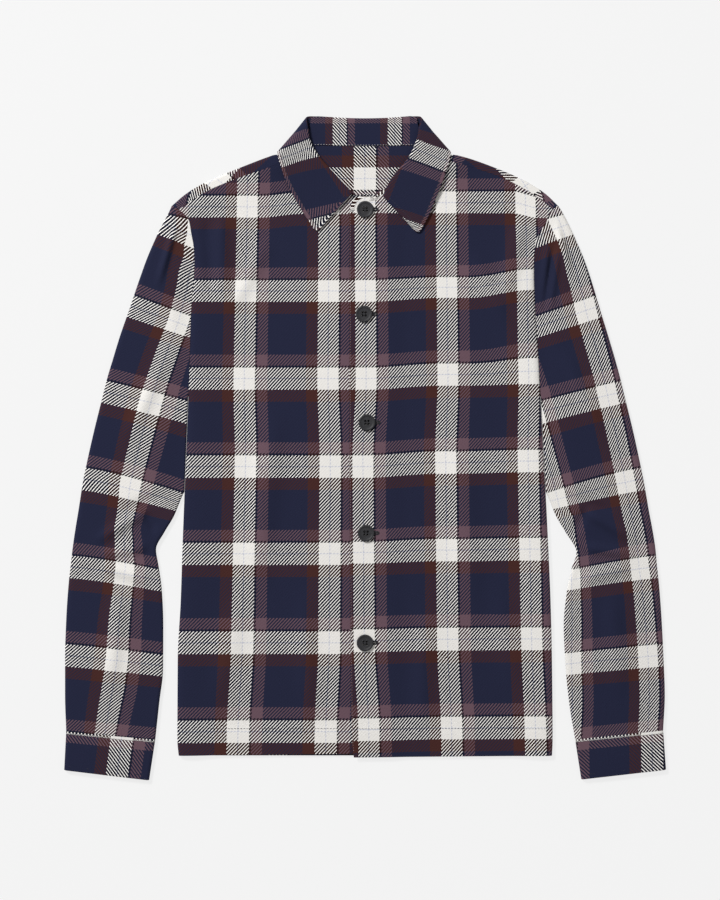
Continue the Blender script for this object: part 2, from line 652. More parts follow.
def add_object(
    name: str,
    points: Array | list,
    faces: Array | list[list[int]],
    material: bpy.types.Material,
    corner_uv: Array | None = None,
    smooth: bool = True,
    sharp_from: float | None = None,
) -> bpy.types.Object:
    """Makes an object from points in millimetres.

    Args:
        name: the object's name.
        points: the points.
        faces: rows of point numbers.
        material: what it is made of.
        smooth: whether it is shaded as a round form.
        sharp_from: edges that bend by more than this, in degrees, look sharp.

    Returns:
        The new object, linked to the scene.
    """
    mesh = bpy.data.meshes.new(name)
    mesh.from_pydata((np.asarray(points) * MM).tolist(), [], [list(map(int, face)) for face in faces])
    if corner_uv is not None:
        layer = mesh.uv_layers.new(name="check")
        layer.data.foreach_set("uv", np.asarray(corner_uv, dtype=np.float32).ravel())
    if smooth:
        mesh.shade_smooth()
    if sharp_from is not None:
        mesh.set_sharp_from_angle(angle=math.radians(sharp_from))
    mesh.materials.append(material)
    mesh.update()
    made = bpy.data.objects.new(name, mesh)
    bpy.context.scene.collection.objects.link(made)
    return made


def ring_faces(first: int, rings: int, sides: int, capped: bool = True) -> list[list[int]]:
    """Faces between rings of points, and over the first and the last ring.

    Args:
        first: the number of the first ring's first point.
        rings: how many rings there are.
        sides: how many points a ring has.
        capped: whether the two ends are closed.

    Returns:
        The faces, as lists of point numbers.
    """
    faces = []
    for ring in range(rings - 1):
        for k in range(sides):
            a = first + ring * sides + k
            b = first + ring * sides + (k + 1) % sides
            faces.append([a, b, b + sides, a + sides])
    if capped:
        last = first + (rings - 1) * sides
        faces.append([first + k for k in reversed(range(sides))])
        faces.append([last + k for k in range(sides)])
    return faces


def arc_places(points: Array, start: int) -> Array:
    """Distances along each row of a grid from one of its columns, negative before it."""
    steps = np.linalg.norm(np.diff(points, axis=1), axis=2)
    total = np.concatenate([np.zeros((points.shape[0], 1)), np.cumsum(steps, axis=1)], axis=1)
    return total - total[:, start:start + 1]


# ---- finishes -------------------------------------------------------------------------------------

Colour = tuple[float, float, float]


def srgb(red: int, green: int, blue: int) -> Colour:
    """A colour as the shader wants it, from the numbers of a picture."""
    channels = []
    for value in (red, green, blue):
        share = value / 255.0
        channels.append(share / 12.92 if share <= 0.04045 else ((share + 0.055) / 1.055) ** 2.4)
    return (channels[0], channels[1], channels[2])


class NodeBoard:
    """A material's nodes, with short ways to add and join them."""

    def __init__(self, name: str) -> None:
        """Starts a material that has a shader and an output."""
        self.material = bpy.data.materials.new(name)
        self.material.use_nodes = True
        self.tree = self.material.node_tree
        self.shader = self.tree.nodes["Principled BSDF"]

    def add(self, kind: str, **settings: object) -> bpy.types.Node:
        """Adds a node and sets its properties."""
        node = self.tree.nodes.new(kind)
        for key, value in settings.items():
            setattr(node, key, value)
        return node

    def feed(self, source: object, target: object) -> None:
        """Joins an output to an input, or sets the input to a value."""
        if isinstance(source, bpy.types.NodeSocket):
            self.tree.links.new(source, target)
        else:
            target.default_value = source

    def sum(self, operation: str, *values: object, clamp: bool = False) -> bpy.types.NodeSocket:
        """A Math node of the operation on up to three values."""
        node = self.add("ShaderNodeMath", operation=operation, use_clamp=clamp)
        for socket, value in zip(node.inputs, values):
            self.feed(value, socket)
        return node.outputs[0]

    def blend(self, kind: str, share: object, below: object, above: object) -> bpy.types.NodeSocket:
        """A mix of two colours."""
        node = self.add("ShaderNodeMix", data_type="RGBA", blend_type=kind)
        self.feed(share, node.inputs["Factor"])
        for label, value in (("A", below), ("B", above)):
            socket = next(s for s in node.inputs if s.name == label and s.type == "RGBA")
            self.feed((*value, 1.0) if isinstance(value, tuple) else value, socket)
        return next(s for s in node.outputs if s.type == "RGBA")

    def brightness(self, colour: bpy.types.NodeSocket) -> bpy.types.NodeSocket:
        """How bright a colour is."""
        node = self.add("ShaderNodeRGBToBW")
        self.feed(colour, node.inputs[0])
        return node.outputs[0]

    def ramp(self, share: object, stops: list[tuple[float, Colour]], stepped: bool) -> bpy.types.NodeSocket:
        """A colour ramp."""
        node = self.add("ShaderNodeValToRGB")
        node.color_ramp.interpolation = "CONSTANT" if stepped else "LINEAR"
        elements = node.color_ramp.elements
        for place, _ in stops[2:]:
            elements.new(place)
        for element, (place, colour) in zip(elements, stops):
            element.position = place
            element.color = (*colour, 1.0)
        self.feed(share, node.inputs["Fac"])
        return node.outputs["Color"]

    def noise(self, scale: float, detail: float = 2.0) -> bpy.types.NodeSocket:
        """A noise over the object's own coordinates, from 0 to 1."""
        place = self.add("ShaderNodeTexCoord").outputs["Object"]
        node = self.add("ShaderNodeTexNoise")
        node.inputs["Scale"].default_value = scale
        node.inputs["Detail"].default_value = detail
        self.feed(place, node.inputs["Vector"])
        return node.outputs["Fac"]

    def bump(self, height: object, strength: float, distance: float) -> None:
        """Gives the shader a bump."""
        node = self.add("ShaderNodeBump")
        node.inputs["Strength"].default_value = strength
        node.inputs["Distance"].default_value = distance
        self.feed(height, node.inputs["Height"])
        self.feed(node.outputs["Normal"], self.shader.inputs["Normal"])

    def finish(self, values: dict[str, object]) -> None:
        """Sets or joins the shader's inputs, by their names."""
        for name, value in values.items():
            self.feed(value, self.shader.inputs[name])


@dataclass(frozen=True)
class PlaidTwill:
    """A brushed twill woven in a check: stripes of warp crossed by the same stripes of weft."""

    cream: Colour = srgb(240, 237, 232)
    line: Colour = srgb(196, 199, 212)
    thin: Colour = srgb(24, 22, 34)
    mauve: Colour = srgb(106, 82, 92)
    navy: Colour = srgb(36, 39, 62)
    maroon: Colour = srgb(71, 41, 38)
    lines_across: float = 25.4      # twill lines in a repeat of the check, to the right
    lines_up: float = 24.3          # and up
    half_cream: float = 0.1264      # in repeats, as are the places where the threads' colours change
    line_from: float = 0.1204
    line_to: float = 0.1324
    thin_from: float = 0.2529
    mauve_from: float = 0.276
    navy_from: float = 0.4
    maroon_from: float = 0.862
    stray: float = 0.002            # how far the edge of a stripe strays
    crest: float = 0.58             # how much narrower the lighter thread's lines are than the darker's
    crest_turn: float = 2.2         # how soon that is so as the two threads differ
    dip: float = 0.42               # how dark the dark thread sits between raised light ones
    catch: float = 0.95             # how much more light the raised light thread catches
    crisp: float = 7.0              # how sharply one thread gives way to the other
    pale_loss: float = 2.2          # how much of that is lost where both threads are light
    dark_below: float = 0.04        # threads darker than this give way softly
    dark_step: float = 30.0
    least_crisp: float = 0.35
    groove: float = 0.2
    groove_tint: Colour = (0.45, 0.45, 0.5)
    rib: float = 0.25               # millimetres

    def stripes(self, board: NodeBoard, place: bpy.types.NodeSocket) -> bpy.types.NodeSocket:
        """The colour of the threads at a place in the check."""
        strays = board.sum("MULTIPLY", board.sum("SUBTRACT", board.noise(900.0, 1.0), 0.5), self.stray)
        share = board.sum("FRACT", board.sum("ADD", board.sum("ADD", place, self.half_cream), strays))
        stops = [
            (0.0, self.cream), (self.line_from, self.line), (self.line_to, self.cream),
            (self.thin_from, self.thin), (self.mauve_from, self.mauve), (self.navy_from, self.navy),
            (self.maroon_from, self.maroon),
        ]
        return board.ramp(share, stops, stepped=True)

    def crispness(
        self, board: NodeBoard, warp_light: bpy.types.NodeSocket, weft_light: bpy.types.NodeSocket
    ) -> bpy.types.NodeSocket:
        """How sharp the twill's lines are, which is less where both threads are light or both dark."""
        both_light = board.sum("MULTIPLY", warp_light, weft_light)
        lightest = board.sum("MAXIMUM", warp_light, weft_light)
        above = board.sum("SUBTRACT", lightest, self.dark_below)
        not_dark = board.sum("MULTIPLY", above, self.dark_step, clamp=True)
        crisp = board.sum("MULTIPLY_ADD", both_light, -self.pale_loss * self.crisp, self.crisp)
        return board.sum("MAXIMUM", board.sum("MULTIPLY", crisp, not_dark), self.least_crisp)

    def material(self, name: str) -> bpy.types.Material:
        """The cloth, laid out by the UV layer that holds the place in the check."""
        board = NodeBoard(name)
        uv = board.add("ShaderNodeUVMap", uv_map="check")
        apart = board.add("ShaderNodeSeparateXYZ")
        board.feed(uv.outputs["UV"], apart.inputs[0])
        across, up = apart.outputs["X"], apart.outputs["Y"]
        turns = board.sum(
            "SUBTRACT",
            board.sum("MULTIPLY", across, 2.0 * math.pi * self.lines_across),
            board.sum("MULTIPLY", up, 2.0 * math.pi * self.lines_up),
        )
        wave = board.sum("SINE", turns)
        warp, weft = self.stripes(board, across), self.stripes(board, up)
        warp_light, weft_light = board.brightness(warp), board.brightness(weft)
        lighter = board.sum("SUBTRACT", warp_light, weft_light)
        eased = board.sum("SINE", board.sum("MULTIPLY", lighter, self.crest_turn))
        pinched = board.sum("SUBTRACT", wave, board.sum("MULTIPLY", eased, self.crest))
        crisp = self.crispness(board, warp_light, weft_light)
        warp_shows = board.sum("MULTIPLY_ADD", pinched, crisp, 0.5, clamp=True)
        woven = board.blend("MIX", warp_shows, weft, warp)
        mixed = board.sum("MULTIPLY", board.sum("ABSOLUTE", lighter), 2.0, clamp=True)
        relief = board.sum("MULTIPLY_ADD", board.brightness(woven), self.catch, self.dip)
        woven = board.blend("MULTIPLY", mixed, woven, relief)
        edge = board.sum("POWER", board.sum("SUBTRACT", 1.0, board.sum("ABSOLUTE", wave)), 2.0)
        grooved = board.blend("MULTIPLY", board.sum("MULTIPLY", edge, self.groove), woven, self.groove_tint)
        mottle = board.ramp(board.noise(1400.0, 3.0), [(0.3, (0.9,) * 3), (0.7, (1.0,) * 3)], False)
        fuzz = board.sum("MULTIPLY", board.noise(700.0, 3.0), 0.9)
        board.finish({
            "Base Color": board.blend("MULTIPLY", 1.0, grooved, mottle), "Roughness": 0.92,
            "Specular IOR Level": 0.06, "Sheen Weight": 0.02, "Sheen Roughness": 0.6,
        })
        board.bump(board.sum("ADD", board.sum("MULTIPLY", wave, 0.2), fuzz), 0.5, self.rib * MM)
        return board.material


@dataclass(frozen=True)
class Thread:
    """Spun sewing thread."""

    colour: Colour
    roughness: float = 0.75

    def material(self, name: str) -> bpy.types.Material:
        """The thread, with a fine twist."""
        board = NodeBoard(name)
        stops = [(0.3, tuple(0.75 * c for c in self.colour)), (0.7, self.colour)]
        shade = board.ramp(board.noise(1800.0, 2.0), stops, False)
        board.finish({"Base Color": shade, "Roughness": self.roughness, "Sheen Weight": 0.1})
        board.bump(board.noise(4000.0, 1.0), 0.4, 0.1 * MM)
        return board.material


@dataclass(frozen=True)
class MattHorn:
    """The matt charcoal plastic of the buttons."""

    colour: Colour = srgb(45, 45, 48)
    roughness: float = 0.55

    def material(self, name: str) -> bpy.types.Material:
        """The plastic, with a faint cloud in its colour and a fine grain."""
        board = NodeBoard(name)
        stops = [(0.35, tuple(0.8 * c for c in self.colour)), (0.7, tuple(1.15 * c for c in self.colour))]
        cloud = board.ramp(board.noise(260.0, 3.0), stops, False)
        board.finish({"Base Color": cloud, "Roughness": self.roughness, "Specular IOR Level": 0.3})
        board.bump(board.noise(3500.0, 2.0), 0.12, 0.05 * MM)
        return board.material


@dataclass(frozen=True)
class Wardrobe:
    """The finishes of the whole garment, made once."""

    cloth: bpy.types.Material
    collar_cloth: bpy.types.Material
    stand_cloth: bpy.types.Material
    seam_thread: bpy.types.Material
    pale_thread: bpy.types.Material
    edge_thread: bpy.types.Material
    button_thread: bpy.types.Material
    hole_thread: bpy.types.Material
    horn: bpy.types.Material

    @classmethod
    def stocked(cls) -> "Wardrobe":
        """Makes every finish."""
        return cls(
            cloth=PlaidTwill().material("plaid_twill"),
            collar_cloth=PlaidTwill(lines_across=18.5, lines_up=34.0).material("plaid_twill_collar"),
            stand_cloth=PlaidTwill(lines_across=17.5).material("plaid_twill_stand"),
            seam_thread=Thread(srgb(40, 40, 56)).material("seam_thread"),
            pale_thread=Thread(srgb(205, 202, 200)).material("pale_thread"),
            edge_thread=Thread(srgb(150, 128, 134)).material("edge_thread"),
            button_thread=Thread(srgb(27, 27, 29)).material("button_thread"),
            hole_thread=Thread(srgb(28, 27, 33)).material("buttonhole_thread"),
            horn=MattHorn().material("matt_horn"),
        )


# ---- pieces of cloth ------------------------------------------------------------------------------


@dataclass
class Front:
    """A front panel, from the side seam and armhole to the front edge and neckline."""

    side: Side
    name: str
    across: int = 62
    step: float = 4.0
    tip_from: float = 281.0             # y from which a row's outer end is drawn to the shoulder tip
    crowding: float = 0.85              # how much closer the points lie towards the front edge
    hem_turn: Span = (-337.5, -335.0)   # y of the step where the hem is turned up
    hem_step: float = 0.45
    rim: float = 4.6                    # how wide the pale rim is at the over front's top corner
    rim_from_y: float = 284.0
    rim_to_x: float = 9.0
    rim_place: float = -0.15
    surface: ClothSurface | None = field(default=None, init=False)

    def row(self, y: float, inner: Array) -> Array:
        """The points of a row, from the side at y to the front edge or the neckline."""
        sign, last_y = self.side.value, FRONT_RUNGS[self.side][-1, 0]
        closed = float(1.0 - fade(y, LAY.seam_hides, LAY.seam_shows))
        seam_height = LAY.side_seam + LAY.seam_gap / 2 + LAY.tilt_gap
        rolled = np.array(LAY.curl(closed, seam_height, float(LAY.edge_top(y))))
        inset = mix(LAY.seam_gap / 2, LAY.wall / 2 + LAY.seam_gap / 2, closed)
        outer = np.array([float(LAY.edge(self.side, y)) + sign * inset, y])
        tip = SHOULDER[self.side][0, 2:4] + np.array([sign * LAY.seam_gap, -LAY.seam_gap])
        outer = mix(outer, tip, fade(y, self.tip_from, last_y))
        width = np.linalg.norm(inner - outer)
        shares = np.arange(1, self.across + 1) / self.across
        crowded = mix(shares, 1.0 - (1.0 - shares) ** 2, self.crowding)
        reaches = np.concatenate([rolled[:, 0], LAY.side_roll + (width - LAY.side_roll) * crowded])
        spots = outer + (inner - outer) / width * reaches[:, None]
        bend = max(0.0, (y - LAY.bends_from) / (last_y - LAY.bends_from)) ** 2
        spots[:, 1] += self.bow(reaches / width) * bend
        x, y_spots = spots.T
        heights = LAY.front_height(self.side, x, y_spots) + LAY.front_folds(self.side, x, y_spots)
        heights = np.maximum(heights, LAY.second_layer)
        heights += self.hem_step * (1.0 - fade(y_spots, *self.hem_turn))
        count = len(rolled)
        heights[:count] = rolled[:, 1] + LAY.lift(x[:count], y_spots[:count])
        return np.column_stack([spots, heights])

    def bow(self, share: Array) -> Array:
        """How far the shoulder seam stands over the straight line between its ends."""
        rows = SHOULDER[self.side]
        seam_x = mix(rows[0, 2], rows[-1, 2], share)
        chord = mix(rows[0, 3], rows[-1, 3], share)
        return np.where((share <= 0.0) | (share >= 1.0), 0.0, SEAM_CURVES[self.side](seam_x) - chord)

    def places(self, points: Array) -> Array:
        """The places in the check, with the rolled side folded out flat."""
        flat = points[:, :, :2].copy()
        start = LAY.curl_steps
        reach = arc_places(points, start)
        way = unit(flat[:, start + 1] - flat[:, start])
        for j in range(start):
            flat[:, j] = points[:, start, :2] + way * reach[:, j:j + 1]
        places = CHECK.front(self.side, flat[:, :, 0], flat[:, :, 1])
        if self.side is Side.RIGHT:
            from_edge = -arc_places(points, points.shape[1] - 1)
            corner = (points[:, -1, 1] > self.rim_from_y) & (points[:, -1, 0] < self.rim_to_x)
            rim = corner[:, None] & (from_edge < self.rim)
            places[:, :, 0] = np.where(rim, np.minimum(places[:, :, 0], self.rim_place), places[:, :, 0])
        return places

    def build(self, wardrobe: Wardrobe) -> bpy.types.Object:
        """Makes the panel."""
        rungs = FRONT_RUNGS[self.side]
        steps = at_numbers(rungs, fine_steps(rungs[:, 1:], self.step))
        points = np.array([self.row(float(y), inner) for y, inner in zip(steps[:, 0], steps[:, 1:])])
        self.surface = ClothSurface.from_grid(points, self.places(points)).facing_up()
        return self.surface.wall(f"{self.name}_cloth", LAY.wall, wardrobe.cloth)


@dataclass
class Back:
    """The back panel, with the strips that wrap forward over both shoulders."""

    name: str = "back"
    step: float = 6.0
    ring_steps: int = 12
    tip_numbers: tuple[float, ...] = (0.14, 0.28, 0.42)     # more rows close to the shoulder tip
    closes: Span = (14.0, 10.0)         # how far below and above the underarm the side seam opens up
    margin: float = 0.02                # the share of the width that the middle leaves free at each side
    levels: tuple[float, float, float] = (-368.0, 230.0, 9.0)
    more_levels: tuple[float, ...] = (-350.0, 48.0, 53.0, 58.0, 62.0, 67.0, 72.0, 230.0)
    top_levels: tuple[float, float, float] = (238.0, 290.0, 8.0)
    top_power: float = 1.25             # how late the rows bend to the shoulders' line
    surface: ClothSurface | None = field(default=None, init=False)

    def shoulder_rows(self, side: Side) -> Array:
        """Fine rows of the shoulder table, from the tip to the neck."""
        rows = SHOULDER[side]
        numbers = fine_steps(rows[:, :2], self.step)
        return at_numbers(rows, np.unique(np.concatenate([numbers, self.tip_numbers])))

    def ring(self, rows: Array, turn: float) -> Array:
        """Points on the roll over a shoulder; turn is 0 below and pi on top."""
        inset = LAY.wall / 2 + LAY.shoulder_roll * (1.0 - math.sin(turn))
        spots = rows[:, :2] - unit(rows[:, :2] - rows[:, 2:4]) * inset
        rise = (LAY.shoulder_top - LAY.low) * (1.0 - math.cos(turn)) / 2.0
        return np.column_stack([spots, LAY.low + LAY.lift(spots[:, 0], spots[:, 1]) + rise])

    def wrap(self, side: Side, rows: Array) -> ClothSurface:
        """The strip over a shoulder, from below its rolled edge to its seam."""
        out = unit(rows[:, :2] - rows[:, 2:4])
        seam = rows[:, 2:4] + out * (LAY.seam_gap / 2)
        strips = [self.ring(rows, math.pi * k / self.ring_steps) for k in range(self.ring_steps + 1)]
        strips.append(np.column_stack([seam, LAY.shoulder_top + LAY.lift(seam[:, 0], seam[:, 1])]))
        strip = np.array(strips)
        middle = self.ring_steps // 2
        arc = arc_places(np.swapaxes(strip, 0, 1), middle).T
        unfolded = strip[middle, :, :2] + out * arc[:, :, None]
        grid = ClothSurface.from_grid(strip, CHECK.shoulder(side, unfolded[:, :, 0], unfolded[:, :, 1]))
        return grid if side is Side.LEFT else grid.turned_over()

    def level(self, y: float, shares: Array) -> Array:
        """A level row of the back, from side to side."""
        closed = float(1.0 - fade(y, LAY.underarm - self.closes[0], LAY.underarm + self.closes[1]))
        rolled = np.array(LAY.curl(closed, LAY.side_seam - LAY.seam_gap / 2 - LAY.tilt_gap, LAY.low))
        inset = mix(LAY.seam_gap / 2, LAY.wall / 2 + LAY.seam_gap / 2, closed)
        left = float(LAY.edge(Side.LEFT, y)) + inset
        right = float(LAY.edge(Side.RIGHT, y)) - inset
        within = self.margin + (1.0 - 2.0 * self.margin) * shares
        middle = mix(left + LAY.side_roll, right - LAY.side_roll, within)
        x = np.concatenate([left + rolled[:, 0], middle, right - rolled[::-1, 0]])
        z = np.concatenate([rolled[:, 1], np.full(len(middle), LAY.low), rolled[::-1, 1]])
        return np.column_stack([x, np.full(len(x), y), z])

    def panel(self, left: Array, right: Array) -> Array:
        """The rows of points of the level part, from the hem to the shoulders and the neck."""
        neck = at_numbers(BACK_NECK, fine_steps(BACK_NECK, self.step))
        lifted = np.full(len(neck), LAY.low + LAY.neck_lift)
        neck = np.column_stack([neck[:, 0], neck[:, 1] - LAY.seam_gap / 2, lifted])
        top = np.vstack([self.ring(left, 0.0), neck, self.ring(right, 0.0)[::-1]])
        curl = LAY.curl_steps + 1
        inner_x = np.concatenate([left[curl:, 0], neck[:, 0], right[::-1][:-curl, 0]])
        tips = [SHOULDER[side][0, 0] for side in Side]
        shares = (inner_x - tips[0]) / (tips[1] - tips[0])
        levels = np.unique(np.concatenate([np.arange(*self.levels), self.more_levels]))
        rows = [self.level(float(y), shares) for y in levels]
        for y in np.arange(*self.top_levels):
            share = (y - levels[-1]) / (self.top_levels[1] - levels[-1])
            row = self.level(float(y), shares)
            row[:, 1] += (top[:, 1] - top[0, 1]) * share ** self.top_power
            row[:, 2] = LAY.low + LAY.lift(row[:, 0], row[:, 1])
            rows.append(row)
        return np.array([*rows, top])

    def build(self, wardrobe: Wardrobe) -> bpy.types.Object:
        """Makes the panel and joins the two strips to its top row."""
        shoulders = {side: self.shoulder_rows(side) for side in Side}
        points = self.panel(shoulders[Side.LEFT], shoulders[Side.RIGHT])
        grids = [ClothSurface.from_grid(points, CHECK.back(points[:, :, 0], points[:, :, 1]))]
        filled = len(grids[0].points)
        numbers = [np.arange(filled)]
        top_row = numbers[0][-points.shape[1]:]
        for side, rows in shoulders.items():
            grids.append(self.wrap(side, rows))
            own = filled + np.arange(len(grids[-1].points))
            own[:len(rows)] = (top_row if side is Side.LEFT else top_row[::-1])[:len(rows)]
            filled += len(own)
            numbers.append(own)
        starts = np.cumsum([0] + [len(grid.places) for grid in grids])
        self.surface = ClothSurface(
            np.vstack([grid.points for grid in grids]),
            np.vstack([grid.places for grid in grids]),
            np.vstack([own[grid.quads] for grid, own in zip(grids, numbers)]),
            np.vstack([grid.corner_places + start for grid, start in zip(grids, starts)]),
        ).joined()
        return self.surface.wall(f"{self.name}_cloth", LAY.wall, wardrobe.cloth)


@dataclass(frozen=True)
class Tube:
    """A flattened ring of cloth, by its heights over the floor and the widths of its two folds."""

    low: float                          # along the floor
    tops: tuple[float, float, float]    # on top, at the inner fold, the middle and the outer fold
    rolls: Span                         # the widths of the inner and the outer fold
    opened: bool                        # whether it lies open at the inner end
    curl: int = 7
    across: int = 30
    floor: int = 8
    most_inner: float = 0.3             # the most of the width that the inner fold takes
    most_outer: float = 0.45
    inner_rise: Span = (0.0, 0.35)      # shares of the width where the height goes to the middle's
    outer_rise: Span = (0.7, 1.0)       # and on to the outer fold's

    def section(self, inner: Array, outer: Array) -> Array:
        """Points from the inner fold over the top and round the outer fold back along the floor."""
        width = float(np.linalg.norm(outer - inner))
        way = (outer - inner) / width
        inner_roll = min(self.rolls[0], self.most_inner * width)
        outer_roll = min(self.rolls[1], self.most_outer * width)
        middle = mix(self.low, self.tops[0], 0.5)
        top_side, floor_side = [], []
        for step in range(self.curl):
            turn = 0.5 * math.pi * step / self.curl
            reach = inner_roll * (step / self.curl if self.opened else 1.0 - math.cos(turn))
            rise = 1.0 if self.opened else math.sin(turn)
            top_side.append((reach, mix(middle, self.tops[0], rise)))
            floor_side.append((reach, mix(middle, self.low, rise)))
        points = top_side
        for k in range(self.across + 1):
            t = k / self.across
            inner_half = mix(self.tops[0], self.tops[1], float(fade(t, *self.inner_rise)))
            top = mix(inner_half, self.tops[2], float(fade(t, *self.outer_rise)))
            points.append((mix(inner_roll, width - outer_roll, t), top))
        for step in range(1, 2 * self.curl):
            turn = math.pi * step / (2 * self.curl)
            height = mix(self.low, self.tops[2], 0.5 * (1.0 + math.cos(turn)))
            points.append((width - outer_roll * (1.0 - math.sin(turn)), height))
        for k in range(self.floor + 1):
            points.append((mix(width - outer_roll, inner_roll, k / self.floor), self.low))
        points += floor_side[::-1]
        reach = np.array([p[0] for p in points])
        return np.column_stack([inner + way * reach[:, None], [p[1] for p in points]])

    @staticmethod
    def surface(side: Side, points: Array, places: Array, closed_from: int = 0) -> ClothSurface:
        """The surface of a row of sections, which is a closed tube from one of them on.

        Args:
            side: which sleeve it belongs to.
            points: the sections' points.
            places: their places in the check.
            closed_from: the number of the first closed section.

        Returns:
            The surface, with its quads facing out.
        """
        rows, columns = points.shape[:2]
        pairs = {i * columns + columns - 1: i * columns for i in range(closed_from, rows)}
        surface = ClothSurface.from_grid(points, places).joined(pairs)
        return surface if side is Side.LEFT else surface.turned_over()


OUTER_FOLD = 2 * Tube.curl + Tube.across    # the number of a section's point at the outer fold

SLEEVE_STRIPES = {
    Side.LEFT: np.array([
        (205, 26, 87), (225, 38, 87), (245, 47, 87), (305, 50.6, 80), (392, 48.9, 90), (479, 47.4, 83),
        (523, 49, 60), (567, 55.5, 71), (610, 54, 82), (655, 53, 88), (690, 47.5, 88), (731, 39, 80),
    ]),
    Side.RIGHT: np.array([
        (205, 6, 76), (225, 8, 77), (245, 10, 79), (307, 14.5, 82), (392, 17, 76), (480, 19, 70),
        (567, 18.5, 68), (655, 16, 77),
    ]),
}
CUFF_STRIPES = {Side.LEFT: (56.0, 53.0), Side.RIGHT: (11.5, 14.0)}     # at the seam and at the open end


@dataclass
class Sleeve:
    """A sleeve: open along the armhole, and a closed flat tube from the underarm to the cuff."""

    side: Side
    name: str
    least_outside: float = 77.0         # the least repeat on the outer side of the stripe, in pixels
    step: float = 4.0
    opens: float = 0.5                  # how far above the underarm the tube opens
    free_y: Span = (-110.0, -50.0)      # inner y from the tube below to the sleeve beside the body
    middle_y: Span = (232.0, 285.0)     # inner y where its middle comes down to the shoulder's height
    outer_y: Span = (200.0, 285.0)      # outer y where its outer side does
    roll_y: Span = (230.0, 290.0)       # outer y where the outer roll narrows
    inner_tops: Span = (3.7, 5.2)       # heights beside the body and on the free tube
    middle_top: float = 5.9
    outer_top: float = 5.6
    inner_rolls: Span = (1.6, 3.4)      # beside the body and on the free tube
    outer_roll: float = 5.5
    fold_inner: Span = (5.0, 20.0)      # from the inner fold out, where the soft folds fade in
    fold_outer: Span = (20.0, 6.0)      # from the outer fold in, where they fade out
    fold_top: Span = (245.0, 280.0)
    surface: ClothSurface | None = field(default=None, init=False)

    def rows(self) -> Array:
        """Rows of (outer x, outer y, inner x, inner y) from the shoulder tip to the cuff seam."""
        sign = self.side.value
        head = SLEEVE_HEAD[self.side]
        free = SLEEVE_FREE[self.side].copy()
        half = LAY.wall / 2
        free[:, 0] += sign * half
        free[:, 2] -= sign * half
        outer = np.vstack([np.column_stack([head[:, 0] + sign * half, head[:, 1]]), free[:, :2]])
        inner_y = np.concatenate([head[:, 2], free[:, 3]])
        last = len(head) - 1
        gap = LAY.seam_gap / 2 + half
        meet = float(LAY.edge(self.side, head[-1, 2])) - sign * gap
        free_x = Curve(np.arange(last, last + 1 + len(free)), np.concatenate([[meet], free[:, 2]]))
        outer_x, outer_y = table_curves(outer)
        inner_curve = Curve(np.arange(len(inner_y)), inner_y)
        made = []
        for number in fine_steps(outer, self.step):
            y = float(inner_curve(number))
            if number <= last:
                gap = LAY.seam_gap / 2 + (0.0 if y > LAY.underarm + self.opens else half)
                x = float(LAY.edge(self.side, y)) - sign * gap
            else:
                x = float(free_x(number))
            made.append((float(outer_x(number)), float(outer_y(number)), x, y))
        return np.array(made)

    def section(self, outer: Array, inner: Array) -> Array:
        """The points round the sleeve between a spot on the outer and one on the inner fold."""
        shoulder = LAY.shoulder_top
        shows = fade(inner[1], LAY.seam_hides, LAY.seam_shows)
        free = 1.0 - fade(inner[1], *self.free_y)
        tops = (
            float(mix(mix(self.inner_tops[0], shoulder, shows), self.inner_tops[1], free)),
            float(mix(self.middle_top, shoulder, fade(inner[1], *self.middle_y))),
            float(mix(self.outer_top, shoulder, fade(outer[1], *self.outer_y))),
        )
        outer_roll = mix(self.outer_roll, LAY.shoulder_roll, fade(outer[1], *self.roll_y))
        rolls = (float(mix(*self.inner_rolls, free)), float(outer_roll))
        tube = Tube(LAY.low, tops, rolls, inner[1] > LAY.underarm + self.opens)
        return self.folded(tube.section(inner, outer), inner, outer)

    def build(self, wardrobe: Wardrobe) -> bpy.types.Object:
        """Makes the sleeve."""
        rows = self.rows()
        points = np.array([self.section(row[:2], row[2:]) for row in rows])
        reach = -arc_places(points, OUTER_FOLD) / PIXEL
        _, picture_row = to_picture(rows[:, 0], rows[:, 1])
        stripe_rows, stripes_in, repeats = SLEEVE_STRIPES[self.side].T
        stripe = np.interp(picture_row, stripe_rows, stripes_in)[:, None]
        repeat = np.interp(picture_row, stripe_rows, repeats)[:, None]
        spread = np.where(reach < stripe, np.maximum(repeat, self.least_outside), repeat)
        across = self.side.value * (reach - stripe) / spread
        width = np.linalg.norm(rows[:, :2] - rows[:, 2:4], axis=1) / PIXEL
        up = CHECK.sleeve(picture_row[:, None], np.clip(reach / width[:, None], 0.0, 1.0))
        closed_from = int(np.argmax(rows[:, 3] <= LAY.underarm + self.opens))
        self.surface = Tube.surface(self.side, points, np.stack([across, up], axis=-1), closed_from)
        return self.surface.wall(f"{self.name}_cloth", LAY.wall, wardrobe.cloth)

    def folded(self, section: Array, inner: Array, outer: Array) -> Array:
        """Adds the folds to the upper layer, away from its two folded edges."""
        width = np.linalg.norm(outer - inner)
        reach = np.linalg.norm(section[:, :2] - inner, axis=1)
        clear = fade(reach, *self.fold_inner)
        clear = clear * (1.0 - fade(reach, width - self.fold_outer[0], width - self.fold_outer[1]))
        clear = clear * (1.0 - fade(section[:, 1], *self.fold_top))
        upper = section[:, 2] > LAY.second_layer
        raised = section[:, 2] + folds(section[:, 0], section[:, 1]) * clear
        section[:, 2] = np.where(upper, np.maximum(raised, LAY.second_layer), section[:, 2])
        return section


